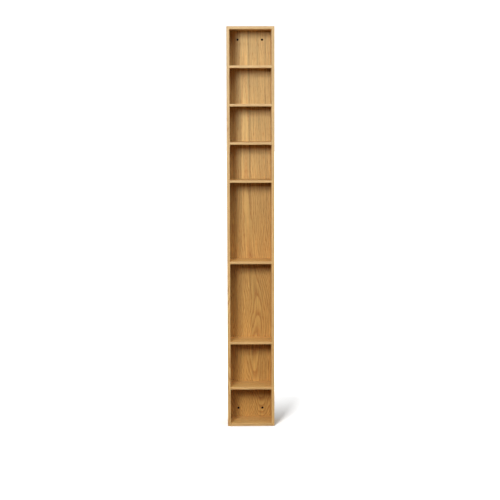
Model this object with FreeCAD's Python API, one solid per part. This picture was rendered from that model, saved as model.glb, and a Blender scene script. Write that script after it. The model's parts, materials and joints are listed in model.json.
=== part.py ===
import FreeCAD, Part
import os

# A tall, narrow open shelf cabinet in oak veneer, free-standing or fixed to a wall.
#
# Four boards are mitred into a frame. Seven fixed shelves divide it into eight compartments.
# One back panel lies in a rebate round the frame's rear edges. Every front edge has a thin
# lipping of solid oak. Inside are the dowels of the shelves, the loose tongues of the mitres
# and the screws that hold the back to the shelves.
#
# Millimetres. X runs across the front to the right, Y from the front to the back, and Z up.
# The origin is on the floor, under the middle of the cabinet.

V = FreeCAD.Vector
ALONG_X = V(1, 0, 0)
ALONG_Y = V(0, 1, 0)

# Overall size and board thicknesses
WIDTH = 200.0
DEPTH = 140.0
HEIGHT = 1700.0
BOARD = 12.0  # sides, top and bottom
SHELF = 10.0  # shelves
BACK = 10.0  # back panel
LIPPING = 2.0  # solid oak strip on each front edge
REBATE = 6.0  # how far the back panel is let into each frame board

# Compartments from the bottom to the top, by their clear height
ROWS = ["foot", "medium", "large", "large", "small", "small", "small", "small"]
FOOT = 148.0
SMALL = 150.0
MEDIUM = 187.0
BOARDS_HIGH = 2 * BOARD + (len(ROWS) - 1) * SHELF
SMALLER_ROWS = FOOT + ROWS.count("small") * SMALL + MEDIUM
LARGE = (HEIGHT - BOARDS_HIGH - SMALLER_ROWS) / ROWS.count("large")
CLEAR_HEIGHT = {"foot": FOOT, "small": SMALL, "medium": MEDIUM, "large": LARGE}

# Wall-fixing holes in the back panel
FIXING_X = 52.5  # from the middle to each side
FIXING_Z = 50.0  # from the bottom and from the top
FIXING_R = 2.5  # clearance hole for a 4.5 mm screw
POCKET_R = 5.0  # round pocket for the screw's head and the plug
POCKET_DEEP = 6.0
PLUG_THICK = 3.0
PLUG_SUNK = 1.0  # from the back panel's face to the plug's face
PLUG_ROUND = 0.5  # rounding of the plug's front edge

# Dowels in the shelf ends
DOWEL_R = 2.5
DOWEL_LONG = 30.0
DOWEL_IN_SIDE = 8.0
DOWEL_INSET = 30.0  # from the shelf's front and rear edges
END_ROOM = 0.5  # free room for glue past each end of a dowel

# Loose tongues in the mitres
TONGUE_THICK = 3.0
TONGUE_WIDE = 10.0
TONGUE_INSET = 20.0  # from the frame's front and from the back panel
TONGUE_SHIFT = 1.5  # along X and Z, from the middle of the mitre towards its inner corner
MITRE_ANGLE = 45.0

# Countersunk screws through the back into the shelves
SCREW_X = 60.0
SCREW_R = 1.5
SCREW_LONG = 25.0
SCREW_TIP = 3.0
HEAD_R = 3.0

GLUE_GAP = 0.05  # all round dowels, tongues, plugs and screws

HALF_WIDTH = WIDTH / 2
INNER = HALF_WIDTH - BOARD  # inner face of a side
FRONT = -DEPTH / 2
CORE_FRONT = FRONT + LIPPING
REAR = DEPTH / 2
BACK_FACE = REAR - BACK


def box(x, y, z):
    """A block between two limits along each axis."""
    return Part.makeBox(x[1] - x[0], y[1] - y[0], z[1] - z[0], V(x[0], y[0], z[0]))


def prism(outline, y):
    """A block with an outline in the XZ plane, between two limits along Y."""
    corners = [V(x_pos, y[0], z_pos) for x_pos, z_pos in outline]
    face = Part.Face(Part.makePolygon(corners + corners[:1]))
    return face.extrude(V(0, y[1] - y[0], 0))


def shelf_levels():
    """The height of each shelf's underside, from the bottom to the top."""
    levels = []
    level = BOARD
    for row in ROWS[:-1]:
        level += CLEAR_HEIGHT[row]
        levels.append(level)
        level += SHELF
    return levels


def frame_outlines():
    """The outline of each mitred frame board, as (x, z) corners."""
    low_out = (-HALF_WIDTH, 0)
    low_in = (-INNER, BOARD)
    high_out = (-HALF_WIDTH, HEIGHT)
    high_in = (-INNER, HEIGHT - BOARD)
    left = [low_out, low_in, high_in, high_out]
    bottom = [low_out, mirrored(low_out), mirrored(low_in), low_in]
    top = [high_out, high_in, mirrored(high_in), mirrored(high_out)]
    right = [mirrored(corner) for corner in left]
    return {"left_side": left, "right_side": right, "top": top, "bottom": bottom}


def mirrored(corner):
    """The same corner on the other side of the cabinet's middle."""
    return (-corner[0], corner[1])


def back_block():
    """The back panel as it is cut to size, with no holes."""
    half = INNER + REBATE
    low = BOARD - REBATE
    return box((-half, half), (BACK_FACE, REAR), (low, HEIGHT - low))


def fixing_points():
    """The four wall-fixing holes, as (x, z)."""
    return [(x, z) for z in (FIXING_Z, HEIGHT - FIXING_Z) for x in (-FIXING_X, FIXING_X)]


def fixing_tools():
    """What is drilled for each wall fixing: a through hole and a pocket from the front."""
    tools = []
    for x, z in fixing_points():
        tools.append(Part.makeCylinder(FIXING_R, BACK, V(x, BACK_FACE, z), ALONG_Y))
        tools.append(Part.makeCylinder(POCKET_R, POCKET_DEEP, V(x, BACK_FACE, z), ALONG_Y))
    return tools


def hole_plugs():
    """One round plug in each fixing hole's pocket, with rounded front edges."""
    plugs = []
    for x, z in fixing_points():
        seat = V(x, BACK_FACE + PLUG_SUNK, z)
        plug = Part.makeCylinder(POCKET_R - GLUE_GAP, PLUG_THICK, seat, ALONG_Y)
        front_edge = [edge for edge in plug.Edges if edge.BoundBox.YMax < seat.y + GLUE_GAP]
        plugs.append(plug.makeFillet(PLUG_ROUND, front_edge))
    return plugs


def dowel_tools(gap, room):
    """The dowels of every shelf, made larger by a gap all round and some room at each end."""
    tools = []
    for level in shelf_levels():
        for side in (-1, 1):
            outer = side * (INNER + DOWEL_IN_SIDE + room)
            inward = ALONG_X * -side
            for y in (CORE_FRONT + DOWEL_INSET, BACK_FACE - DOWEL_INSET):
                start = V(outer, y, level + SHELF / 2)
                long = DOWEL_LONG + 2 * room
                tools.append(Part.makeCylinder(DOWEL_R + gap, long, start, inward))
    return tools


def tongue_tools(gap):
    """The tongue of each mitre, square to the mitre's face, made larger by a gap all round."""
    wide = (-TONGUE_WIDE / 2 - gap, TONGUE_WIDE / 2 + gap)
    thick = (-TONGUE_THICK / 2 - gap, TONGUE_THICK / 2 + gap)
    y = (CORE_FRONT + TONGUE_INSET - gap, BACK_FACE - TONGUE_INSET + gap)
    inset = BOARD / 2 + TONGUE_SHIFT
    tools = []
    for side in (-1, 1):
        for end, z in ((-1, inset), (1, HEIGHT - inset)):
            tongue = box(wide, y, thick)
            tongue.rotate(V(0, 0, 0), ALONG_Y, MITRE_ANGLE * side * end)
            tongue.translate(V(side * (HALF_WIDTH - inset), 0, z))
            tools.append(tongue)
    return tools


def screw_tools(gap):
    """The screws of the back, heads flush with its rear face, made larger by a gap all round."""
    radius = SCREW_R + gap
    head = HEAD_R + gap
    tools = []
    for level in shelf_levels():
        for x in (-SCREW_X, SCREW_X):
            seat = V(x, REAR, level + SHELF / 2)
            cone = Part.makeCone(head, radius, head - radius, seat, -ALONG_Y)
            shank = Part.makeCylinder(radius, SCREW_LONG - SCREW_TIP, seat, -ALONG_Y)
            tip_start = seat - ALONG_Y * (SCREW_LONG - SCREW_TIP)
            tip = Part.makeCone(radius, gap, SCREW_TIP, tip_start, -ALONG_Y)
            tools.append(cone.fuse([shank, tip]).removeSplitter().Solids[0])
    return tools


def frame_boards():
    """The four frame boards with their rebate, mitre grooves and dowel holes, and their lippings."""
    tools = [back_block()] + tongue_tools(GLUE_GAP) + dowel_tools(GLUE_GAP, END_ROOM)
    nodes = {}
    for name, outline in frame_outlines().items():
        board_name = name if name.endswith("side") else name + "_panel"
        nodes[board_name] = prism(outline, (CORE_FRONT, REAR)).cut(tools)
        nodes[name + "_lipping"] = prism(outline, (FRONT, CORE_FRONT))
    return nodes


def shelves():
    """The seven shelves with their dowel and screw holes, and their lippings."""
    tools = dowel_tools(GLUE_GAP, END_ROOM) + screw_tools(GLUE_GAP)
    nodes = {}
    for number, level in enumerate(shelf_levels(), start=1):
        across = (-INNER, INNER)
        high = (level, level + SHELF)
        nodes[f"shelf_{number}"] = box(across, (CORE_FRONT, BACK_FACE), high).cut(tools)
        nodes[f"shelf_{number}_lipping"] = box(across, (FRONT, CORE_FRONT), high)
    return nodes


def build():
    """Every node of the cabinet: name to shape."""
    nodes = frame_boards()
    nodes.update(shelves())
    nodes["back_panel"] = back_block().cut(fixing_tools() + screw_tools(GLUE_GAP))
    nodes["hole_plugs"] = Part.makeCompound(hole_plugs())
    nodes["shelf_dowels"] = Part.makeCompound(dowel_tools(0, 0))
    nodes["corner_tongues"] = Part.makeCompound(tongue_tools(0))
    nodes["back_screws"] = Part.makeCompound(screw_tools(0))
    return nodes


def main():
    os.makedirs("parts", exist_ok=True)
    for name, shape in build().items():
        shape.exportStep(f"parts/{name}.step")
        print(name, len(shape.Solids), "valid" if shape.isValid() else "NOT VALID")


main()
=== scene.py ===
"""A tall oak shelf cabinet: its visible pieces, their finishes and the studio round it.

Lengths are metres unless a name says mm. X runs across the front to the right, Y from the
front to the back, and Z up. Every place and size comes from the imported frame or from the
settings below.
"""

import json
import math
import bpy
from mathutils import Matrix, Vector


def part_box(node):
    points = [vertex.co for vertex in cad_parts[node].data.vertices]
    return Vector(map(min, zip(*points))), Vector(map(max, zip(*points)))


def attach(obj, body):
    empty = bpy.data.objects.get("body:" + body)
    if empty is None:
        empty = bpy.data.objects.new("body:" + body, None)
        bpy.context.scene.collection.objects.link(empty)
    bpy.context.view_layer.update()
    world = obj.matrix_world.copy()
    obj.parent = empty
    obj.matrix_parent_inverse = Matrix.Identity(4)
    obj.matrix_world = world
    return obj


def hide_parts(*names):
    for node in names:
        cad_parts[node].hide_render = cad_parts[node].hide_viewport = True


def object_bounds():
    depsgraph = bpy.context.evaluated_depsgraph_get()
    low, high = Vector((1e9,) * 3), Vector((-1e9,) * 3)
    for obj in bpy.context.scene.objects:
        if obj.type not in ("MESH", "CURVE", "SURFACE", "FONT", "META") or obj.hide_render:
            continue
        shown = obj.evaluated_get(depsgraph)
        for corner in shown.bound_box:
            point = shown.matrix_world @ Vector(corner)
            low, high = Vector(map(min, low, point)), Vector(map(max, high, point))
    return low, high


bl_info = {
    "name": "Oak Shelf Cabinet",
    "version": (1, 0, 0),
    "blender": (4, 5, 0),
    "location": "View3D > Sidebar > Cabinet",
    "description": "Builds a tall oak shelf cabinet piece by piece, with its finishes and a studio",
    "category": "Add Mesh",
}

import bmesh
import bpy
from mathutils import Matrix, Vector

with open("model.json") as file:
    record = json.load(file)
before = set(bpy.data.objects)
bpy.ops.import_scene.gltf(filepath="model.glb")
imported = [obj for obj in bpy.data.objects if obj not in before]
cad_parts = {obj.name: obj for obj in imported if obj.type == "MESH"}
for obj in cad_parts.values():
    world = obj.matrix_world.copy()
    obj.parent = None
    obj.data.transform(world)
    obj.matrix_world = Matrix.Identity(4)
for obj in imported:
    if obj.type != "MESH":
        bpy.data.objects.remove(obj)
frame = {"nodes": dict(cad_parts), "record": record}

CAD_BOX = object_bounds()
BODY = "root"
MM = 0.001

SHELVES = sorted(name for name in frame["nodes"] if name.startswith("shelf_") and name[-1].isdigit())
LOW, HIGH = CAD_BOX
HEIGHT = HIGH.z - LOW.z
HALF_WIDTH = HIGH.x
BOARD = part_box("left_side")[1].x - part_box("left_side")[0].x
BACK_LOW, BACK_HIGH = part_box("back_panel")
GLUE_GAP = 0.05 * MM
MITRE_ANGLE = math.radians(45)
SMOOTH_UNDER = math.radians(30)


# ---------------------------------------------------------------- settings

def colour(name, default, description):
    """A colour setting, given as an sRGB hex value."""
    return bpy.props.FloatVectorProperty(
        name=name, description=description, subtype="COLOR", size=3, min=0, max=1, default=linear(default)
    )


def length(name, default, description):
    """A length setting in metres."""
    return bpy.props.FloatProperty(
        name=name, description=description, default=default, min=0, unit="LENGTH"
    )


def amount(name, default, description):
    """A setting that is a plain number from 0 up."""
    return bpy.props.FloatProperty(name=name, description=description, default=default, min=0)


def count(name, default, description):
    """A setting that is a whole number from 1 up."""
    return bpy.props.IntProperty(name=name, description=description, default=default, min=1)


def angle(name, degrees, description):
    """An angle setting, given in degrees."""
    return bpy.props.FloatProperty(
        name=name, description=description, subtype="ANGLE", default=math.radians(degrees)
    )


def position(name, default, description):
    """A point setting in metres."""
    return bpy.props.FloatVectorProperty(
        name=name, description=description, subtype="TRANSLATION", default=default
    )


def linear(srgb_hex):
    """The linear colour of an sRGB hex value."""
    channels = [int(srgb_hex[i:i + 2], 16) / 255 for i in (1, 3, 5)]
    return [c / 12.92 if c <= 0.04045 else ((c + 0.055) / 1.055) ** 2.4 for c in channels]


class JoinerySettings(bpy.types.PropertyGroup):
    """How the boards are eased and drilled."""

    ease: length("Easing", 0.6 * MM, "Radius that sandpaper leaves on the front edges")
    rear_ease: length("Rear easing", 0.4 * MM, "Radius on the outer rear edges and round the back")
    ease_steps: count("Easing steps", 3, "Facets per easing")
    back_steps: count("Back steps", 1, "Facets of the easing round the back panel")
    hole_sides: count("Hole sides", 32, "Facets round a hole")
    through_radius: length("Fixing hole", 2.5 * MM, "Radius of a wall-fixing hole behind its pocket")
    pocket_radius: length("Pocket", 5.0 * MM, "Radius of the pocket in front of a fixing hole")
    pocket_depth: length("Pocket depth", 6.0 * MM, "How deep the pocket is from the front")
    dowel_long: length("Dowel", 30.0 * MM, "Length of a dowel")
    glue_room: length("Glue room", 0.5 * MM, "Free room past each end of a dowel")
    tongue_wide: length("Tongue width", 10.0 * MM, "Width of a mitre's loose tongue")
    tongue_thick: length("Tongue thickness", 3.0 * MM, "Thickness of a mitre's loose tongue")


class FittingSettings(bpy.types.PropertyGroup):
    """The plugs in the fixing holes and the screws in the back."""

    plug_round: length("Plug rounding", 0.5 * MM, "Radius of a plug's front edge")
    plug_dish: length("Plug dish", 0.25 * MM, "How far a plug's face is sunk inside its rim")
    plug_sides: count("Plug sides", 48, "Facets round a plug")
    plug_steps: count("Plug steps", 4, "Facets of a plug's rounding")
    screw_head: length("Screw head", 3.0 * MM, "Radius of the countersunk head")
    screw_shank: length("Screw shank", 1.5 * MM, "Radius of the screw under its head")
    screw_tip: length("Screw tip", 3.0 * MM, "Length of the screw's point")
    screw_sides: count("Screw sides", 32, "Facets round a screw")
    tip_share: amount("Tip share", 0.1, "How wide the point's end is, as a share of the shank")
    recess_reach: length("Recess reach", 1.55 * MM, "From the head's middle to the end of a recess arm")
    recess_width: length("Recess width", 0.55 * MM, "Width of a recess arm")
    recess_depth: length("Recess depth", 1.2 * MM, "How deep the cross recess is")


class OakSettings(bpy.types.PropertyGroup):
    """The look of the oak, for veneer and solid lippings alike."""

    # Top and foot colours are blended by height: partly the wood's own tone, partly painted light and
    # shade for how the light falls off down the cabinet.
    back_top: colour("Back, top", "#D0AF6C", "Veneer of the back panel at its top, straw-coloured")
    back_foot: colour("Back, foot", "#C5984E", "Veneer of the back panel at its foot, turned to honey")
    board_top: colour("Boards, top", "#DCB677", "Veneer of the boards near the top")
    board_foot: colour("Boards, foot", "#E7C077", "Veneer of the boards near the foot")
    lip_top: colour("Lippings, top", "#D6B47C", "Solid oak on the front edges near the top")
    lip_foot: colour("Lippings, foot", "#D4AC6E", "Solid oak on the front edges near the foot")
    porous: colour("Porous wood", "#C08E58", "What the porous side of a growth ring is tinted towards")
    ring_depth: bpy.props.FloatProperty(
        name="Ring contrast", description="How far the porous side is tinted", default=0.40, min=0, max=1
    )
    pore_depth: bpy.props.FloatProperty(
        name="Pore contrast", description="How far the pores are tinted", default=0.50, min=0, max=1
    )
    ring_mm: amount("Ring width (mm)", 6.0, "Growth ring width where the veneer is cut square")
    pith_mm: amount("Pith distance (mm)", 34.0, "How far the crown cut passes from the pith")


class StudioSettings(bpy.types.PropertyGroup):
    """The floor, lights and camera."""

    key_width: length("Key width", 1.1, "Width of the soft box")
    key_height: length("Key height", 1.2, "Height of the soft box")
    key_power: amount("Key power", 170.0, "Watts")
    key_place: position("Key place", (-1.44, -4.5, 2.38), "Middle of the soft box")
    floor_power: amount("Floor power", 520.0, "Watts that only the floor gets, so it burns out to white")
    floor_shade: amount("Floor shade", 0.6, "How much of the light the floor gives back")
    glow_start: length("Glow start", 0.5, "From the cabinet to where the floor starts to glow")
    glow_full: length("Glow full", 1.6, "From the cabinet to where the floor is pure white")
    pool_power: amount("Pool power", 400.0, "Watts of the spot that clears the shadow behind the cabinet")
    pool_place: position("Pool place", (-0.12, 0.77, 3.0), "Where the spot hangs")
    pool_radius: length("Pool radius", 0.80, "How far the spot's light reaches on the floor")
    pool_bulb: length("Pool bulb", 0.05, "Radius of the spot's bulb")
    fill_right: amount("Fill, right", 1.5, "White wall on the right")
    fill_left: amount("Fill, left", 0.2, "Dark wall on the left")
    fill_rear: amount("Fill, rear", 0.75, "White walls behind")
    lens: amount("Lens (mm)", 95.0, "Focal length on a 36 mm sensor")
    eye: position("Camera place", (-0.121, -5.626, 1.398), "Where the camera stands")
    tilt: angle("Tilt", 6.52, "Downwards")
    turn: angle("Turn", 1.21, "To the right")
    roll: angle("Roll", 0.12, "Clockwise")


# ---------------------------------------------------------------- modelling by hand

def block(name, low, high, turn=0.0):
    """A cube primitive that fills the box between two corners, turned about Y round its middle."""
    bpy.ops.object.select_all(action="DESELECT")
    bpy.ops.mesh.primitive_cube_add(
        size=1, location=(low + high) / 2, rotation=(0, turn, 0), scale=high - low
    )
    bpy.ops.object.transform_apply(location=True, rotation=True, scale=True)
    piece = bpy.context.object
    piece.name = name
    piece.data.name = name
    return piece


def rod(start, end, start_radius, end_radius, sides):
    """A cylinder or cone primitive from one point to another, with its place in its mesh."""
    bpy.ops.object.select_all(action="DESELECT")
    along = end - start
    turn = Vector((0, 0, 1)).rotation_difference(along).to_euler()
    bpy.ops.mesh.primitive_cone_add(
        vertices=sides, radius1=start_radius, radius2=end_radius, depth=along.length,
        location=(start + end) / 2, rotation=turn,
    )
    bpy.ops.object.transform_apply(location=True, rotation=True, scale=True)
    return bpy.context.object


def edit(piece, mode, wanted):
    """Opens a piece in edit mode with only the wanted edges or faces selected."""
    bpy.ops.object.select_all(action="DESELECT")
    piece.select_set(True)
    bpy.context.view_layer.objects.active = piece
    bpy.ops.object.mode_set(mode="EDIT")
    bpy.ops.mesh.select_mode(type=mode)
    bpy.ops.mesh.select_all(action="DESELECT")
    mesh = bmesh.from_edit_mesh(piece.data)
    for element in mesh.edges if mode == "EDGE" else mesh.faces:
        element.select_set(wanted(element))
    bmesh.update_edit_mesh(piece.data)


def close_edit():
    """Leaves edit mode."""
    bpy.ops.object.mode_set(mode="OBJECT")


def middle_of(edge):
    """The middle of an edge."""
    return (edge.verts[0].co + edge.verts[1].co) / 2


def ease(piece, wanted, radius, steps):
    """Rounds the wanted edges of a piece."""
    edit(piece, "EDGE", wanted)
    bpy.ops.mesh.bevel(offset=radius, segments=steps, affect="EDGES")
    close_edit()


def saw(piece, point, normal):
    """Takes off what lies past a plane and closes the cut."""
    edit(piece, "FACE", lambda face: True)
    bpy.ops.mesh.bisect(plane_co=point, plane_no=normal, use_fill=True, clear_outer=True)
    close_edit()


def mitre(piece, axis):
    """Saws both ends of a frame board at 45 degrees, from its outer to its inner corners."""
    low, high = box_of(piece)
    middle = Vector((0, 0, HEIGHT / 2))
    across = 0 if axis == 2 else 2
    outward = 1 if (low + high)[across] / 2 > middle[across] else -1
    for end in (-1, 1):
        normal = Vector()
        normal[axis] = end
        normal[across] = -outward
        corner = Vector((low.x + high.x, 0, low.z + high.z)) / 2
        corner[axis] = high[axis] if end > 0 else low[axis]
        corner[across] = high[across] if outward > 0 else low[across]
        saw(piece, corner, normal)


def box_of(piece):
    """The lowest and highest corners of a piece's mesh."""
    points = [vertex.co for vertex in piece.data.vertices]
    low = Vector([min(point[i] for point in points) for i in range(3)])
    high = Vector([max(point[i] for point in points) for i in range(3)])
    return low, high


def joined(tools):
    """Several cutters as one object."""
    bpy.ops.object.select_all(action="DESELECT")
    for tool in tools:
        tool.select_set(True)
    bpy.context.view_layer.objects.active = tools[0]
    if len(tools) > 1:
        bpy.ops.object.join()
    return tools[0]


def cut(piece, tools):
    """Takes the tools out of a piece, one Boolean for those that don't touch each other."""
    cutter = joined(tools)
    modifier = piece.modifiers.new("cut", "BOOLEAN")
    modifier.operation = "DIFFERENCE"
    modifier.solver = "EXACT"
    modifier.object = cutter
    apply_modifier(piece, modifier)
    bpy.data.objects.remove(cutter)


def apply_modifier(piece, modifier):
    """Makes what a modifier does part of a piece's mesh."""
    bpy.ops.object.select_all(action="DESELECT")
    piece.select_set(True)
    bpy.context.view_layer.objects.active = piece
    bpy.ops.object.modifier_apply(modifier=modifier.name)


def copied(piece, name, offset):
    """A copy with its own mesh, moved by an offset that goes into its mesh."""
    twin = piece.copy()
    twin.data = piece.data.copy()
    twin.data.transform(Matrix.Translation(offset))
    twin.name = name
    twin.data.name = name
    bpy.context.scene.collection.objects.link(twin)
    return twin


def fit(piece, material, nodes, number=0):
    """Gives a finished piece its material, its body and the CAD nodes it stands for.

    The number shifts the grain of its wood."""
    bpy.ops.object.select_all(action="DESELECT")
    piece.select_set(True)
    bpy.context.view_layer.objects.active = piece
    bpy.ops.object.shade_smooth_by_angle(angle=SMOOTH_UNDER)
    piece.data.materials.clear()
    piece.data.materials.append(material)
    piece.pass_index = number
    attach(piece, BODY)
    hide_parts(*nodes)


# ---------------------------------------------------------------- materials

def add(tree, kind, *values, out=None, points=None, **settings):
    """Adds a node with its settings, and links or sets its inputs in their order.

    Only the inputs that the settings leave in use count. Points are for a node with a curve.
    Gives back the named output, or else the first one in use."""
    node = tree.nodes.new("ShaderNode" + kind)
    for name, value in settings.items():
        setattr(node, name, value)
    sockets = [socket for socket in node.inputs if socket.enabled]
    for socket, value in zip(sockets, values):
        if isinstance(value, bpy.types.NodeSocket):
            tree.links.new(value, socket)
        else:
            socket.default_value = value
    if points:
        line = node.mapping.curves[0]
        line.points[0].location = points[0]
        line.points[-1].location = points[-1]
        for point in points[1:-1]:
            line.points.new(*point)
        node.mapping.update()
    return node.outputs[out] if out else next(socket for socket in node.outputs if socket.enabled)


def new_material(name):
    """An empty node material, its tree and its shader."""
    material = bpy.data.materials.new(name)
    material.use_nodes = True
    tree = material.node_tree
    return material, tree, tree.nodes["Principled BSDF"]


# Sizes of the streaks in oak, as (width, length along the grain) in mm. Pores are 0.3 mm wide in
# real oak, and are drawn 1.6 mm wide, or they wouldn't show.
PORES = (1.6, 20.0)
FINE_CELLS = (4.2, 90.0)
WIDE_CELLS = (9.0, 420.0)
CROWN_WAVES = (22.0, 130.0)
BAND_WAVES = (60.0, 260.0)
STRAIGHT_WAVES = (45.0, 420.0)
STRAIGHT_BANDS = (30.0, 1500.0)

# How far each kind of wave moves its lines to either side, in mm
CROWN_WANDER = 7.0
BAND_WANDER = 5.0
STRAIGHT_WANDER = 16.0

# How dark and how pale streaks and bands get
FINE_TONES = (0.87, 1.13)
WIDE_TONES = (0.91, 1.09)
STRAIGHT_TONES = (0.94, 1.06)
CROWN_TONES = (0.66, 1.31)

# What part of a noise is spread out over the whole range of a pattern
MOST_OF_NOISE = (0.2, 0.8)
MIDDLE_OF_NOISE = (0.3, 0.7)
PORES_OF_NOISE = (0.50, 0.70)

# A growth ring goes from 0 to 1. Its porous side fades out by the first, and starts at the second.
POROUS_ENDS = 0.6
POROUS_STARTS = 0.88
DENSE_PORES = 0.35  # pores in the dense side, as a share of those in the porous side
RING_DEPTH_FOOT = 1.4  # ring contrast at the foot, as a share of the setting
RING_DEPTH_TOP = 0.7
STRAIGHT_RINGS = 0.8  # ring width of straight-grained boards, as a share of the setting

# The lacquer: roughness over closed wood and in the pores, and how much the relief shows
LACQUER_ROUGHNESS = 0.45
PORE_ROUGHNESS = 0.65
RELIEF_STRENGTH = 0.25
RELIEF_DEPTH = 0.3 * MM
RING_RELIEF = 0.3  # relief of a ring's porous side, as a share of a pore's

# From one board's pattern to the next one's, in mm: across, through and along the grain
NEXT_BOARD = (61.0, 0.0, 317.0)


def grain_place(tree, along):
    """Coordinates in mm, with X across the grain and Z along it, on every face of a board.

    Each piece has its own number, which shifts the pattern, so no two boards look alike.
    The height above the floor comes with it, from 0 at the foot to 1 at the top."""
    place = add(tree, "TexCoord", out="Object")
    in_mm = add(tree, "VectorMath", place, 1 / MM, operation="SCALE")
    split = add(tree, "SeparateXYZ", in_mm).node.outputs
    if along == "BACK":
        across = split["X"]
    else:
        across = add(tree, "Math", split["Y"], split["Z" if along == "X" else "X"], operation="ADD")
    grain = add(tree, "CombineXYZ", across, 0.0, split["X" if along == "X" else "Z"])
    number = add(tree, "ObjectInfo", out="Object Index")
    shift = add(tree, "VectorMath", NEXT_BOARD, number, operation="SCALE")
    grain = add(tree, "VectorMath", grain, shift, operation="ADD")
    return grain, add(tree, "Math", split["Z"], HEIGHT / MM, operation="DIVIDE")


def streaks(tree, grain, size, detail=2.0):
    """Soft streaks of about this width and length in mm, from 0 to 1."""
    width, long = size
    stretched = add(tree, "VectorMath", grain, (width, width, long), operation="DIVIDE")
    return add(tree, "TexNoise", stretched, 1.0, detail, 0.5)


# Where the middle of the crown lies, as (height, place across), and how far the tree's taper has
# moved the rings there, in units of TAPER. Where the taper turns round, the arches close to a spindle.
CROWN_MIDDLE = [(0.0, 0.75), (0.06, 0.74), (0.11, 0.60), (0.15, 0.58), (0.21, 0.62), (0.29, 0.66),
                (0.36, 0.58), (0.45, 0.48), (0.65, 0.41), (1.0, 0.37)]
CROWN_TAPER = [(0.0, 0.62), (0.035, 0.44), (0.09, 0.31), (0.15, 0.23), (0.21, 0.19), (0.25, 0.23),
               (0.29, 0.28), (0.35, 0.34), (0.45, 0.39), (0.6, 0.43), (0.8, 0.48), (1.0, 0.53)]

TAPER = 100.0  # mm

# How far the oak at each height has the top's colour and not the foot's. The change is partly the wood's
# own tone and partly painted light and shade for how the light falls off down the cabinet.
HEIGHT_TONE_AND_SHADE = [(0.0, 0.0), (0.3, 0.12), (0.5, 0.25), (0.62, 0.55), (0.72, 0.88), (1.0, 1.0)]

# The crown-cut sheet's own pale and dark bands, from its left edge to its right. They lean to one
# side by the first value, in mm, and fade out between the two heights to a share of their strength,
# because the arches begin there.
BAND_LEAN = 16.0
BANDS_FADE = (0.5, 0.62)
FADED_BANDS = 0.35
CROWN_BANDS = [(0.0, 0.50), (0.18, 0.55), (0.27, 0.42), (0.31, 0.66), (0.42, 0.74), (0.445, 0.62),
               (0.466, 0.18), (0.49, 0.44), (0.52, 0.56), (0.60, 0.56), (0.66, 0.40), (0.72, 0.54),
               (0.80, 0.50), (0.82, 0.26), (0.84, 0.50), (1.0, 0.42)]


def crown_rings(tree, grain, oak):
    """Ring number across crown-cut veneer: arches down the middle, straight lines beside them."""
    split = add(tree, "SeparateXYZ", grain).node.outputs
    up = add(tree, "Math", split["Z"], HEIGHT / MM, operation="DIVIDE")
    middle = add(tree, "FloatCurve", 1.0, up, points=CROWN_MIDDLE)
    middle = add(tree, "MapRange", middle, 0.0, 1.0, -HALF_WIDTH / MM, HALF_WIDTH / MM)
    waves = streaks(tree, grain, CROWN_WAVES)
    waver = add(tree, "MapRange", waves, *MOST_OF_NOISE, -CROWN_WANDER, CROWN_WANDER)
    from_middle = add(tree, "Math", split["X"], middle, operation="SUBTRACT")
    from_middle = add(tree, "Math", from_middle, waver, operation="ADD")
    to_pith = add(tree, "CombineXYZ", from_middle, oak.pith_mm)
    radius = add(tree, "VectorMath", to_pith, operation="LENGTH")
    taper = add(tree, "FloatCurve", 1.0, up, points=CROWN_TAPER)
    taper = add(tree, "Math", taper, TAPER, operation="MULTIPLY")
    radius = add(tree, "Math", radius, taper, operation="ADD")
    return add(tree, "Math", radius, oak.ring_mm, operation="DIVIDE")


def crown_bands(tree, grain):
    """How pale or dark each band of the crown-cut sheet is."""
    split = add(tree, "SeparateXYZ", grain).node.outputs
    lean = add(tree, "MapRange", split["Z"], 0.0, HEIGHT / MM, BAND_LEAN, 0.0)
    waves = streaks(tree, grain, BAND_WAVES, 1.0)
    waver = add(tree, "MapRange", waves, *MOST_OF_NOISE, -BAND_WANDER, BAND_WANDER)
    place = add(tree, "Math", split["X"], waver, operation="ADD")
    place = add(tree, "Math", place, lean, operation="SUBTRACT")
    place = add(tree, "MapRange", place, -HALF_WIDTH / MM, HALF_WIDTH / MM, 0.0, 1.0)
    band = add(tree, "FloatCurve", 1.0, place, points=CROWN_BANDS)
    low, high = [share * HEIGHT / MM for share in BANDS_FADE]
    strength = add(tree, "MapRange", split["Z"], low, high, FADED_BANDS, 1.0)
    band = add(tree, "Mix", strength, 0.5, band)
    return add(tree, "MapRange", band, 0.0, 1.0, *CROWN_TONES)


def straight_rings(tree, grain, oak):
    """Ring number across straight-grained oak: lines that lean and waver a little."""
    across = add(tree, "SeparateXYZ", grain, out="X")
    waves = streaks(tree, grain, STRAIGHT_WAVES, 1.0)
    waver = add(tree, "MapRange", waves, *MOST_OF_NOISE, -STRAIGHT_WANDER, STRAIGHT_WANDER)
    place = add(tree, "Math", across, waver, operation="ADD")
    return add(tree, "Math", place, oak.ring_mm * STRAIGHT_RINGS, operation="DIVIDE")


def straight_bands(tree, grain):
    """How pale or dark each band of a straight-grained board is."""
    bands = streaks(tree, grain, STRAIGHT_BANDS, 1.0)
    return add(tree, "MapRange", bands, *MIDDLE_OF_NOISE, *STRAIGHT_TONES)


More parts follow.
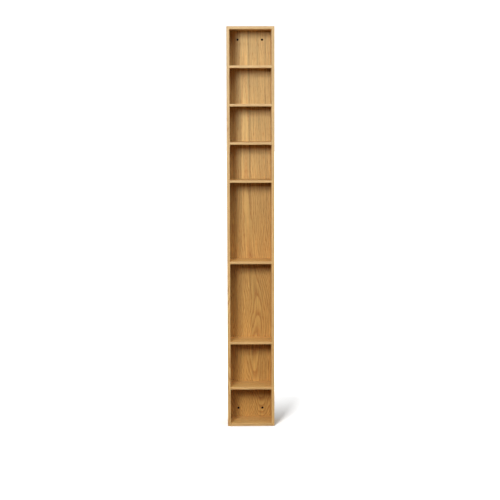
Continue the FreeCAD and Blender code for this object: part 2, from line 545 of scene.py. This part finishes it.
def oak_material(name, along, rings, bands, foot, top):
    """Matt lacquered oak.

    The eye sees ring lines with a sharp porous side and a soft side, fine dark pores drawn out along the
    grain, broad pale and dark bands, and straw that turns to honey towards the foot: a change that is
    partly the wood's own tone and partly painted light and shade for how the light falls off down the
    cabinet."""
    oak = bpy.context.scene.oak
    material, tree, shader = new_material(name)
    grain, height = grain_place(tree, along)

    # Growth rings: each starts with a sharp porous edge and fades into dense latewood.
    ring = add(tree, "Math", rings(tree, grain, oak), operation="FRACT")
    fading = add(tree, "MapRange", ring, 0.0, POROUS_ENDS, 1.0, 0.0)
    onset = add(tree, "MapRange", ring, POROUS_STARTS, 1.0, 0.0, 1.0)
    porous = add(tree, "Math", fading, onset, operation="MAXIMUM")

    # Pores: fine dark dashes, most of them in the porous side of a ring.
    pores = add(tree, "MapRange", streaks(tree, grain, PORES, 1.0), *PORES_OF_NOISE, 0.0, 1.0)
    open_pores = add(tree, "MapRange", porous, 0.0, 1.0, DENSE_PORES, 1.0)
    pores = add(tree, "Math", pores, open_pores, operation="MULTIPLY")

    # Wide and fine streaks lie over the bands, as the cells follow the rings unevenly.
    wide = add(tree, "MapRange", streaks(tree, grain, WIDE_CELLS), *MIDDLE_OF_NOISE, *WIDE_TONES)
    fine = add(tree, "MapRange", streaks(tree, grain, FINE_CELLS), *MIDDLE_OF_NOISE, *FINE_TONES)
    tone = add(tree, "Math", wide, fine, operation="MULTIPLY")
    tone = add(tree, "Math", tone, bands(tree, grain), operation="MULTIPLY")

    # Top to foot: partly the wood's own tone, partly painted light and shade as the light falls off down
    # the cabinet.
    height_tone_and_shade = add(tree, "FloatCurve", 1.0, height, points=HEIGHT_TONE_AND_SHADE)
    wood = add(tree, "Mix", height_tone_and_shade, (*foot, 1), (*top, 1), data_type="RGBA")
    depths = oak.ring_depth * RING_DEPTH_FOOT, oak.ring_depth * RING_DEPTH_TOP
    ring_depth = add(tree, "MapRange", height, 0.0, 1.0, *depths)
    ring_share = add(tree, "Math", porous, ring_depth, operation="MULTIPLY")
    share = add(tree, "Math", pores, oak.pore_depth, ring_share, operation="MULTIPLY_ADD")
    tint = add(tree, "Mix", share, (1, 1, 1, 1), (*oak.porous, 1), data_type="RGBA")
    wood = add(tree, "Mix", 1.0, wood, tint, data_type="RGBA", blend_type="MULTIPLY")
    wood = add(tree, "VectorMath", wood, tone, operation="SCALE")
    tree.links.new(wood, shader.inputs["Base Color"])

    # The lacquer is thin, so the pores stay open and the surface stays matt.
    depth = add(tree, "Math", porous, RING_RELIEF, pores, operation="MULTIPLY_ADD")
    relief = add(tree, "Bump", invert=True).node
    relief.inputs["Strength"].default_value = RELIEF_STRENGTH
    relief.inputs["Distance"].default_value = RELIEF_DEPTH
    tree.links.new(depth, relief.inputs["Height"])
    tree.links.new(relief.outputs["Normal"], shader.inputs["Normal"])
    roughness = add(tree, "MapRange", pores, 0.0, 1.0, LACQUER_ROUGHNESS, PORE_ROUGHNESS)
    tree.links.new(roughness, shader.inputs["Roughness"])
    shader.inputs["IOR"].default_value = 1.5
    return material


# Unevenness of the plain materials: roughness to either side, the shade of the darkest grit, and
# how deep the grit is
UNEVEN_SHINE = 0.08
DARKEST_GRIT = 0.85
GRIT_DEPTH = 0.1 * MM


def plain_material(name, srgb_hex, roughness, metallic=0.0, shine=0.5, grit_mm=0.4, relief=0.1):
    """A material of one colour with a fine unevenness in its shade, shine and surface."""
    material, tree, shader = new_material(name)
    grit = add(tree, "TexNoise", add(tree, "TexCoord", out="Object"), 1 / (grit_mm * MM), 3.0)
    shines = roughness - UNEVEN_SHINE, roughness + UNEVEN_SHINE
    uneven = add(tree, "MapRange", grit, *MIDDLE_OF_NOISE, *shines)
    tree.links.new(uneven, shader.inputs["Roughness"])
    bumps = add(tree, "Bump").node
    bumps.inputs["Strength"].default_value = relief
    bumps.inputs["Distance"].default_value = GRIT_DEPTH
    tree.links.new(grit, bumps.inputs["Height"])
    tree.links.new(bumps.outputs["Normal"], shader.inputs["Normal"])
    full = linear(srgb_hex)
    dark = [channel * DARKEST_GRIT for channel in full]
    shade = add(tree, "Mix", grit, (*dark, 1), (*full, 1), data_type="RGBA")
    tree.links.new(shade, shader.inputs["Base Color"])
    shader.inputs["Metallic"].default_value = metallic
    shader.inputs["IOR"].default_value = 1.5
    shader.inputs["Specular IOR Level"].default_value = shine
    return material


def material_named(name, make):
    """The material of that name, made the first time it is asked for."""
    return bpy.data.materials.get(name) or make()


def veneer(along):
    """Straight-grained oak veneer, upright on the sides and level on the other boards."""
    name = "oak_veneer_upright" if along == "Z" else "oak_veneer_level"
    oak = bpy.context.scene.oak
    tones = oak.board_foot, oak.board_top
    return material_named(name, lambda: oak_material(name, along, straight_rings, straight_bands, *tones))


def crown_veneer():
    """Crown-cut oak veneer, one sheet for the whole back."""
    name = "oak_veneer_crown_cut"
    oak = bpy.context.scene.oak
    tones = oak.back_foot, oak.back_top
    return material_named(name, lambda: oak_material(name, "BACK", crown_rings, crown_bands, *tones))


def solid_oak(along):
    """Solid straight-grained oak for the lippings, upright on the sides and level on the rest."""
    name = "oak_lipping_upright" if along == "Z" else "oak_lipping_level"
    oak = bpy.context.scene.oak
    tones = oak.lip_foot, oak.lip_top
    return material_named(name, lambda: oak_material(name, along, straight_rings, straight_bands, *tones))


# ---------------------------------------------------------------- pieces

# The number of each board, which shifts its grain. The back has none, so its crown stays in place.
# Lippings are numbered on from the first, in the order of their names.
FRAME_NUMBERS = {"left_side": 1, "right_side": 2, "top_panel": 3, "bottom_panel": 4}
FIRST_SHELF_NUMBER = 5
FIRST_LIPPING_NUMBER = 20


def shelf_middles():
    """The height of each shelf's middle."""
    return [(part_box(name)[0].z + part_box(name)[1].z) / 2 for name in SHELVES]


def fixing_points():
    """The (x, z) of each wall-fixing hole, from the record's mount."""
    mount = next(m for m in frame["record"]["mounts"] if m["name"] == "wall_fixing")
    middle = Vector(mount["pos_m"])
    across = mount["dims"]["spacing_x_mm"] * MM / 2
    up = mount["dims"]["spacing_y_mm"] * MM / 2
    return [(middle.x + i * across, middle.z + j * up) for j in (-1, 1) for i in (-1, 1)]


def screw_points(levels):
    """The (x, z) of each screw in the back at these levels."""
    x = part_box("back_screws")[1].x - bpy.context.scene.fittings.screw_head
    return [(side * x, z) for z in levels for side in (-1, 1)]


def dowel_holes(side, levels):
    """Cutters for the dowels at these levels, on one side."""
    low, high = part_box("shelf_dowels")
    joinery = bpy.context.scene.joinery
    radius = high.z - shelf_middles()[-1]
    reach = side * (high.x + joinery.glue_room)
    inner = side * (high.x - joinery.dowel_long - joinery.glue_room)
    tools = []
    for z in levels:
        for y in (low.y + radius, high.y - radius):
            ends = Vector((reach, y, z)), Vector((inner, y, z))
            tools.append(rod(*ends, radius + GLUE_GAP, radius + GLUE_GAP, joinery.hole_sides))
    return tools


def tongue_grooves():
    """Cutters for the loose tongues of the four mitres."""
    joinery = bpy.context.scene.joinery
    low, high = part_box("corner_tongues")
    reach = (joinery.tongue_wide + joinery.tongue_thick) / 2 * math.cos(MITRE_ANGLE)
    half = Vector((joinery.tongue_wide, high.y - low.y, joinery.tongue_thick)) / 2
    half += Vector((GLUE_GAP, GLUE_GAP, GLUE_GAP))
    tools = []
    for side in (-1, 1):
        for end, z in ((-1, low.z + reach), (1, high.z - reach)):
            middle = Vector((side * (high.x - reach), (low.y + high.y) / 2, z))
            turn = MITRE_ANGLE * side * end
            tools.append(block("tongue_groove", middle - half, middle + half, turn))
    return tools


def screw_holes(levels):
    """Cutters for the screws' shanks at these levels, right through the back and into the shelves."""
    low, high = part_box("back_screws")
    joinery = bpy.context.scene.joinery
    radius = bpy.context.scene.fittings.screw_shank + GLUE_GAP
    tools = []
    for x, z in screw_points(levels):
        ends = Vector((x, high.y + BOARD, z)), Vector((x, low.y - GLUE_GAP, z))
        tools.append(rod(*ends, radius, radius, joinery.hole_sides))
    return tools


def rebate():
    """A cutter for the rebate, in the shape of the back panel and open at the rear."""
    return block("rebate", BACK_LOW, BACK_HIGH + Vector((0, BOARD, 0)))


class CABINET_OT_sides(bpy.types.Operator):
    """Make the two side boards: mitred, rebated for the back and drilled for the dowels"""

    bl_idname = "cabinet.sides"
    bl_label = "Side Boards"

    def execute(self, context):
        joinery = context.scene.joinery
        for name, side in (("left_side", -1), ("right_side", 1)):
            low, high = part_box(name)
            piece = block(name + "_board", low, high)
            outer = side * HALF_WIDTH

            def rear_arris(edge):
                middle = middle_of(edge)
                return abs(middle.x - outer) < GLUE_GAP and abs(middle.y - high.y) < GLUE_GAP

            ease(piece, rear_arris, joinery.rear_ease, joinery.ease_steps)
            mitre(piece, 2)
            cut(piece, [rebate()])
            cut(piece, tongue_grooves())
            cut(piece, dowel_holes(side, shelf_middles()))
            fit(piece, veneer("Z"), [name], FRAME_NUMBERS[name])
        return {"FINISHED"}


class CABINET_OT_top_and_bottom(bpy.types.Operator):
    """Make the top and the bottom: mitred and rebated for the back"""

    bl_idname = "cabinet.top_and_bottom"
    bl_label = "Top and Bottom"

    def execute(self, context):
        joinery = context.scene.joinery
        for name in ("top_panel", "bottom_panel"):
            low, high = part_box(name)
            piece = block(name.replace("panel", "board"), low, high)
            outer = HIGH.z if name.startswith("top") else LOW.z

            def rear_arris(edge):
                middle = middle_of(edge)
                return abs(middle.z - outer) < GLUE_GAP and abs(middle.y - high.y) < GLUE_GAP

            ease(piece, rear_arris, joinery.rear_ease, joinery.ease_steps)
            mitre(piece, 0)
            cut(piece, [rebate()])
            cut(piece, tongue_grooves())
            fit(piece, veneer("X"), [name], FRAME_NUMBERS[name])
        return {"FINISHED"}


class CABINET_OT_shelves(bpy.types.Operator):
    """Make the shelves, drilled in their ends for the dowels"""

    bl_idname = "cabinet.shelves"
    bl_label = "Shelves"

    def execute(self, context):
        low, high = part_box(SHELVES[0])
        level = shelf_middles()[0]
        first = block(SHELVES[0] + "_board", low, high)
        cut(first, [tool for side in (-1, 1) for tool in dowel_holes(side, [level])])
        cut(first, screw_holes([level]))
        boards = [first]
        for name in SHELVES[1:]:
            boards.append(copied(first, name + "_board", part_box(name)[0] - low))
        for number, (name, board) in enumerate(zip(SHELVES, boards), start=FIRST_SHELF_NUMBER):
            fit(board, veneer("X"), [name], number)
        return {"FINISHED"}


class CABINET_OT_back(bpy.types.Operator):
    """Make the back panel with its stepped wall-fixing holes and countersunk screw holes"""

    bl_idname = "cabinet.back"
    bl_label = "Back Panel"

    def execute(self, context):
        joinery = context.scene.joinery
        fittings = context.scene.fittings
        piece = block("back_board", BACK_LOW, BACK_HIGH)

        def rear_arris(edge):
            return middle_of(edge).y > BACK_HIGH.y - GLUE_GAP

        ease(piece, rear_arris, joinery.rear_ease, joinery.back_steps)
        past = Vector((0, BOARD, 0))
        deep = Vector((0, joinery.pocket_depth, 0))
        hole = joinery.through_radius
        pocket = joinery.pocket_radius
        through = []
        pockets = []
        for x, z in fixing_points():
            front = Vector((x, BACK_LOW.y, z))
            through.append(rod(front - past, front + 2 * past, hole, hole, joinery.hole_sides))
            pockets.append(rod(front - past, front + deep, pocket, pocket, joinery.hole_sides))
        cut(piece, through)
        cut(piece, pockets)

        # A countersink's cutter goes on past the rear face, at the same slope.
        sunk = Vector((0, fittings.screw_head - fittings.screw_shank, 0))
        wide = fittings.screw_head * 2 - fittings.screw_shank + GLUE_GAP
        narrow = fittings.screw_shank + GLUE_GAP
        heads = []
        for x, z in screw_points(shelf_middles()):
            rear = Vector((x, BACK_HIGH.y, z))
            heads.append(rod(rear + sunk, rear - sunk, wide, narrow, joinery.hole_sides))
        cut(piece, heads)
        cut(piece, screw_holes(shelf_middles()))
        fit(piece, crown_veneer(), ["back_panel"])
        return {"FINISHED"}


class CABINET_OT_lippings(bpy.types.Operator):
    """Make the solid oak lippings with their eased front edges"""

    bl_idname = "cabinet.lippings"
    bl_label = "Front Lippings"

    def execute(self, context):
        names = sorted(name for name in frame["nodes"] if name.endswith("_lipping"))
        shelf_name = SHELVES[0] + "_lipping"
        shelf_edge = front_edge(shelf_name, 0)
        for number, name in enumerate(names, start=FIRST_LIPPING_NUMBER):
            upright = name.endswith("side_lipping")
            axis = 2 if upright else 0
            if name == shelf_name:
                piece = shelf_edge
            elif name.startswith("shelf"):
                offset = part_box(name)[0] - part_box(shelf_name)[0]
                piece = copied(shelf_edge, name.replace("lipping", "front_edge"), offset)
            else:
                piece = front_edge(name, axis)
                mitre(piece, axis)
            fit(piece, solid_oak("Z" if upright else "X"), [name], number)
        return {"FINISHED"}


def front_edge(name, axis):
    """A lipping that runs along an axis, with its two front edges eased."""
    joinery = bpy.context.scene.joinery
    low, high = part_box(name)
    piece = block(name.replace("lipping", "front_edge"), low, high)

    def front_arris(edge):
        along = edge.verts[1].co - edge.verts[0].co
        return abs(along[axis]) > BOARD and middle_of(edge).y < low.y + GLUE_GAP

    ease(piece, front_arris, joinery.ease, joinery.ease_steps)
    return piece


def one_at_each(first, name, points):
    """A fitting that stands at the first of some (x, z) points, and a copy of it at each other one."""
    first.name = name + "_1"
    first.data.name = first.name
    x, z = points[0]
    fittings = [first]
    for number, (other_x, other_z) in enumerate(points[1:], start=2):
        fittings.append(copied(first, f"{name}_{number}", Vector((other_x - x, 0, other_z - z))))
    return fittings


class CABINET_OT_plugs(bpy.types.Operator):
    """Make the plugs in the wall-fixing holes, near black as painted shade: a rounded rim round a shallow
    dish
    """

    bl_idname = "cabinet.plugs"
    bl_label = "Hole Plugs"

    def execute(self, context):
        fittings = context.scene.fittings
        low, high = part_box("hole_plugs")
        points = fixing_points()
        radius = high.x - points[-1][0]
        x, z = points[0]
        first = rod(Vector((x, high.y, z)), Vector((x, low.y, z)), radius, radius, fittings.plug_sides)

        def front_rim(edge):
            return middle_of(edge).y < low.y + GLUE_GAP

        def front_face(face):
            return face.calc_center_median().y < low.y + GLUE_GAP

        ease(first, front_rim, fittings.plug_round, fittings.plug_steps)
        edit(first, "FACE", front_face)
        bpy.ops.mesh.inset(thickness=fittings.plug_round)
        bpy.ops.mesh.inset(thickness=fittings.plug_dish)
        bpy.ops.transform.translate(value=(0, fittings.plug_dish, 0))
        bpy.ops.mesh.inset(thickness=radius / 2)
        close_edit()
        # Near-black matt plugs: their colour is painted shade, standing in for the darkness down a deep
        # fixing hole, so each plug reads as a dark spot.
        material = plain_material("black_polythene", "#050404", 0.8, shine=0.1)
        for plug in one_at_each(first, "fixing_plug", points):
            fit(plug, material, ["hole_plugs"])
        return {"FINISHED"}


class CABINET_OT_screws(bpy.types.Operator):
    """Make the countersunk screws of the back: cross recess, cone, shank and point"""

    bl_idname = "cabinet.screws"
    bl_label = "Back Screws"

    def execute(self, context):
        fittings = context.scene.fittings
        low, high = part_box("back_screws")
        points = screw_points(shelf_middles())
        x, z = points[0]
        rear = Vector((x, high.y, z))
        first = one_screw(rear, high.y - low.y, fittings)
        # Bright zinc over steel: cool silver highlights round the recess, against the warm oak.
        material = plain_material("bright_zinc_plated_steel", "#C9CACB", 0.32, metallic=1.0, grit_mm=0.6)
        for screw in one_at_each(first, "back_screw", points):
            fit(screw, material, ["back_screws"])
        return {"FINISHED"}


def one_screw(rear, long, fittings):
    """A countersunk screw that goes from a point on the rear face into the cabinet."""
    inward = Vector((0, -1, 0))
    neck = rear + inward * (fittings.screw_head - fittings.screw_shank)
    end = rear + inward * long
    tip = inward * fittings.screw_tip
    screw = rod(rear, neck, fittings.screw_head, fittings.screw_shank, fittings.screw_sides)

    def neck_face(face):
        return face.calc_center_median().y < neck.y + GLUE_GAP and len(face.verts) > 4

    edit(screw, "FACE", neck_face)
    bpy.ops.mesh.extrude_region_move(TRANSFORM_OT_translate={"value": end - tip - neck})
    bpy.ops.mesh.extrude_region_move(TRANSFORM_OT_translate={"value": tip})
    bpy.ops.transform.resize(value=(fittings.tip_share, 1, fittings.tip_share), center_override=end)
    close_edit()

    level_arm = Vector((fittings.recess_reach, fittings.recess_depth, fittings.recess_width / 2))
    upright_arm = Vector((level_arm.z, level_arm.y, level_arm.x))
    for arm in (level_arm, upright_arm):
        cut(screw, [block("recess", rear - arm, rear + arm)])
    return screw


class CABINET_OT_hidden_joinery(bpy.types.Operator):
    """Finish the dowels and tongues, which keep their CAD shape"""

    bl_idname = "cabinet.hidden_joinery"
    bl_label = "Dowels and Tongues"

    def execute(self, context):
        # Raw beech is a pale pinkish tan, and raw birch plywood a paler cream. Neither shines.
        beech = plain_material("turned_beech", "#D8B48A", 0.6, grit_mm=0.8, relief=0.2)
        plywood = plain_material("raw_birch_plywood", "#DEC79C", 0.65, grit_mm=1.0, relief=0.2)
        hidden = ("shelf_dowels", beech, "beech"), ("corner_tongues", plywood, "birch_plywood")
        for name, material, slot in hidden:
            node = frame["nodes"][name]
            node.data.materials.clear()
            node.data.materials.append(material)
        return {"FINISHED"}


SENSOR_MM = 36
FLOOR_SIZE = 60

# The room's light by direction. The left wall gives way to the right wall as the direction's X
# goes from the first value to the second, and the front of the room to its rear as its Y does.
LEFT_TO_RIGHT = (-0.2, 0.2)
FRONT_TO_REAR = (-0.6, -0.3)

# How bright the front of the room is from straight down (0) through level (0.5) to straight up (1)
ROOM_BY_HEIGHT = [(0.0, 0.08), (0.25, 0.06), (0.42, 0.03), (0.5, 0.01),
                  (0.57, 0.2), (0.64, 0.95), (1.0, 1.0)]

# What the camera sees of the room, a little past pure white
SEEN_WHITE = 1.1


class CABINET_OT_studio(bpy.types.Operator):
    """Set up the white floor, the lights, the white room and the camera"""

    bl_idname = "cabinet.studio"
    bl_label = "Studio"

    def execute(self, context):
        studio = context.scene.studio
        context.scene.view_settings.view_transform = "Standard"
        floor = studio_floor(studio)
        middle = Vector((0, 0, HEIGHT / 2))
        size = studio.key_width, studio.key_height
        soft_box("key_soft_box", studio.key_place, middle, size, studio.key_power)

        # The floor alone gets more of the same light, so that it burns out round the shadow.
        lamp = soft_box("floor_soft_box", studio.key_place, middle, size, studio.floor_power)
        lit = bpy.data.collections.new("lit_by_floor_soft_box")
        lit.objects.link(floor)
        lamp.light_linking.receiver_collection = lit

        # A spot that points straight down burns out the floor behind the cabinet.
        bpy.ops.object.light_add(type="SPOT", location=studio.pool_place)
        spot = context.object
        spot.name = "rear_spot"
        spot.data.energy = studio.pool_power
        spot.data.spot_size = 2 * math.atan2(studio.pool_radius, studio.pool_place[2])
        spot.data.spot_blend = 1.0
        spot.data.shadow_soft_size = studio.pool_bulb
        spot.light_linking.receiver_collection = lit

        white_room(studio)
        bpy.ops.object.camera_add()
        camera = context.object
        camera.data.lens = studio.lens
        camera.data.sensor_width = SENSOR_MM
        camera.matrix_world = (
            Matrix.Translation(studio.eye)
            @ Matrix.Rotation(-studio.turn, 4, "Z")
            @ Matrix.Rotation(math.pi / 2 - studio.tilt, 4, "X")
            @ Matrix.Rotation(-studio.roll, 4, "Z")
        )
        context.scene.camera = camera
        return {"FINISHED"}


def studio_floor(studio):
    """A floor of matt white paint that glows with distance. It is seen, and light from it isn't."""
    bpy.ops.object.select_all(action="DESELECT")
    bpy.ops.mesh.primitive_plane_add(size=FLOOR_SIZE, location=(0, 0, LOW.z))
    floor = bpy.context.object
    floor.name = "studio_floor"
    material, tree, shader = new_material("white_studio_floor")
    shader.inputs["Base Color"].default_value = (*[studio.floor_shade] * 3, 1)
    shader.inputs["Roughness"].default_value = 0.9
    shader.inputs["Specular IOR Level"].default_value = 0.0
    shader.inputs["Emission Color"].default_value = (1, 1, 1, 1)
    away = add(tree, "VectorMath", add(tree, "TexCoord", out="Object"), operation="LENGTH")
    glow = add(tree, "MapRange", away, studio.glow_start, studio.glow_full, 0.0, 1.0)
    tree.links.new(glow, shader.inputs["Emission Strength"])
    floor.data.materials.append(material)
    floor.visible_diffuse = False
    floor.visible_glossy = False
    floor.visible_shadow = False
    return floor


def white_room(studio):
    """The light of the room: white walls behind and on the right, and a dark one on the left.

    The camera sees pure white in every direction."""
    world = bpy.data.worlds.new("white_room")
    world.use_nodes = True
    tree = world.node_tree
    shell = tree.nodes["Background"]
    shell.inputs["Color"].default_value = (1, 1, 1, 1)
    direction = add(tree, "TexCoord", out="Generated")
    split = add(tree, "SeparateXYZ", direction).node.outputs
    side = add(tree, "MapRange", split["X"], *LEFT_TO_RIGHT, studio.fill_left, studio.fill_right)
    up = add(tree, "MapRange", split["Z"], -1.0, 1.0, 0.0, 1.0)
    up = add(tree, "FloatCurve", 1.0, up, points=ROOM_BY_HEIGHT)
    front_glow = add(tree, "Math", side, up, operation="MULTIPLY")
    rear = add(tree, "MapRange", split["Y"], *FRONT_TO_REAR, 0.0, 1.0)
    glow = add(tree, "Mix", rear, front_glow, studio.fill_rear)

    seen = add(tree, "LightPath", out="Is Camera Ray")
    glow = add(tree, "Mix", seen, glow, SEEN_WHITE)
    tree.links.new(glow, shell.inputs["Strength"])
    bpy.context.scene.world = world


def soft_box(name, place, target, size, power):
    """A flat light that faces a target and isn't itself seen."""
    bpy.ops.object.light_add(type="AREA", location=place)
    lamp = bpy.context.object
    lamp.name = name
    lamp.data.shape = "RECTANGLE"
    lamp.data.size, lamp.data.size_y = size
    lamp.data.energy = power
    lamp.rotation_euler = (Vector(target) - Vector(place)).to_track_quat("-Z", "Y").to_euler()
    lamp.visible_camera = False
    return lamp


# ---------------------------------------------------------------- add-on

STEPS = (
    CABINET_OT_studio,
    CABINET_OT_sides,
    CABINET_OT_top_and_bottom,
    CABINET_OT_shelves,
    CABINET_OT_back,
    CABINET_OT_lippings,
    CABINET_OT_plugs,
    CABINET_OT_screws,
    CABINET_OT_hidden_joinery,
)
GROUPS = {
    "joinery": JoinerySettings,
    "fittings": FittingSettings,
    "oak": OakSettings,
    "studio": StudioSettings,
}


class CABINET_PT_pieces(bpy.types.Panel):
    """Lists the steps that build the cabinet"""

    bl_idname = "CABINET_PT_pieces"
    bl_label = "Oak Shelf Cabinet"
    bl_space_type = "VIEW_3D"
    bl_region_type = "UI"
    bl_category = "Cabinet"

    def draw(self, context):
        for step in STEPS:
            self.layout.operator(step.bl_idname)
        for name, group in GROUPS.items():
            box = self.layout.box()
            box.label(text=name.capitalize())
            for setting in group.__annotations__:
                box.prop(getattr(context.scene, name), setting)


def register():
    for group in GROUPS.values():
        bpy.utils.register_class(group)
    for step in STEPS:
        bpy.utils.register_class(step)
    bpy.utils.register_class(CABINET_PT_pieces)
    for name, group in GROUPS.items():
        setattr(bpy.types.Scene, name, bpy.props.PointerProperty(type=group))


def unregister():
    for name in GROUPS:
        delattr(bpy.types.Scene, name)
    bpy.utils.unregister_class(CABINET_PT_pieces)
    for step in reversed(STEPS):
        bpy.utils.unregister_class(step)
    for group in GROUPS.values():
        bpy.utils.unregister_class(group)


def main():
    register()
    for step in STEPS:
        group, name = step.bl_idname.split(".")
        getattr(getattr(bpy.ops, group), name)()


if __name__ == "__main__":
    main()
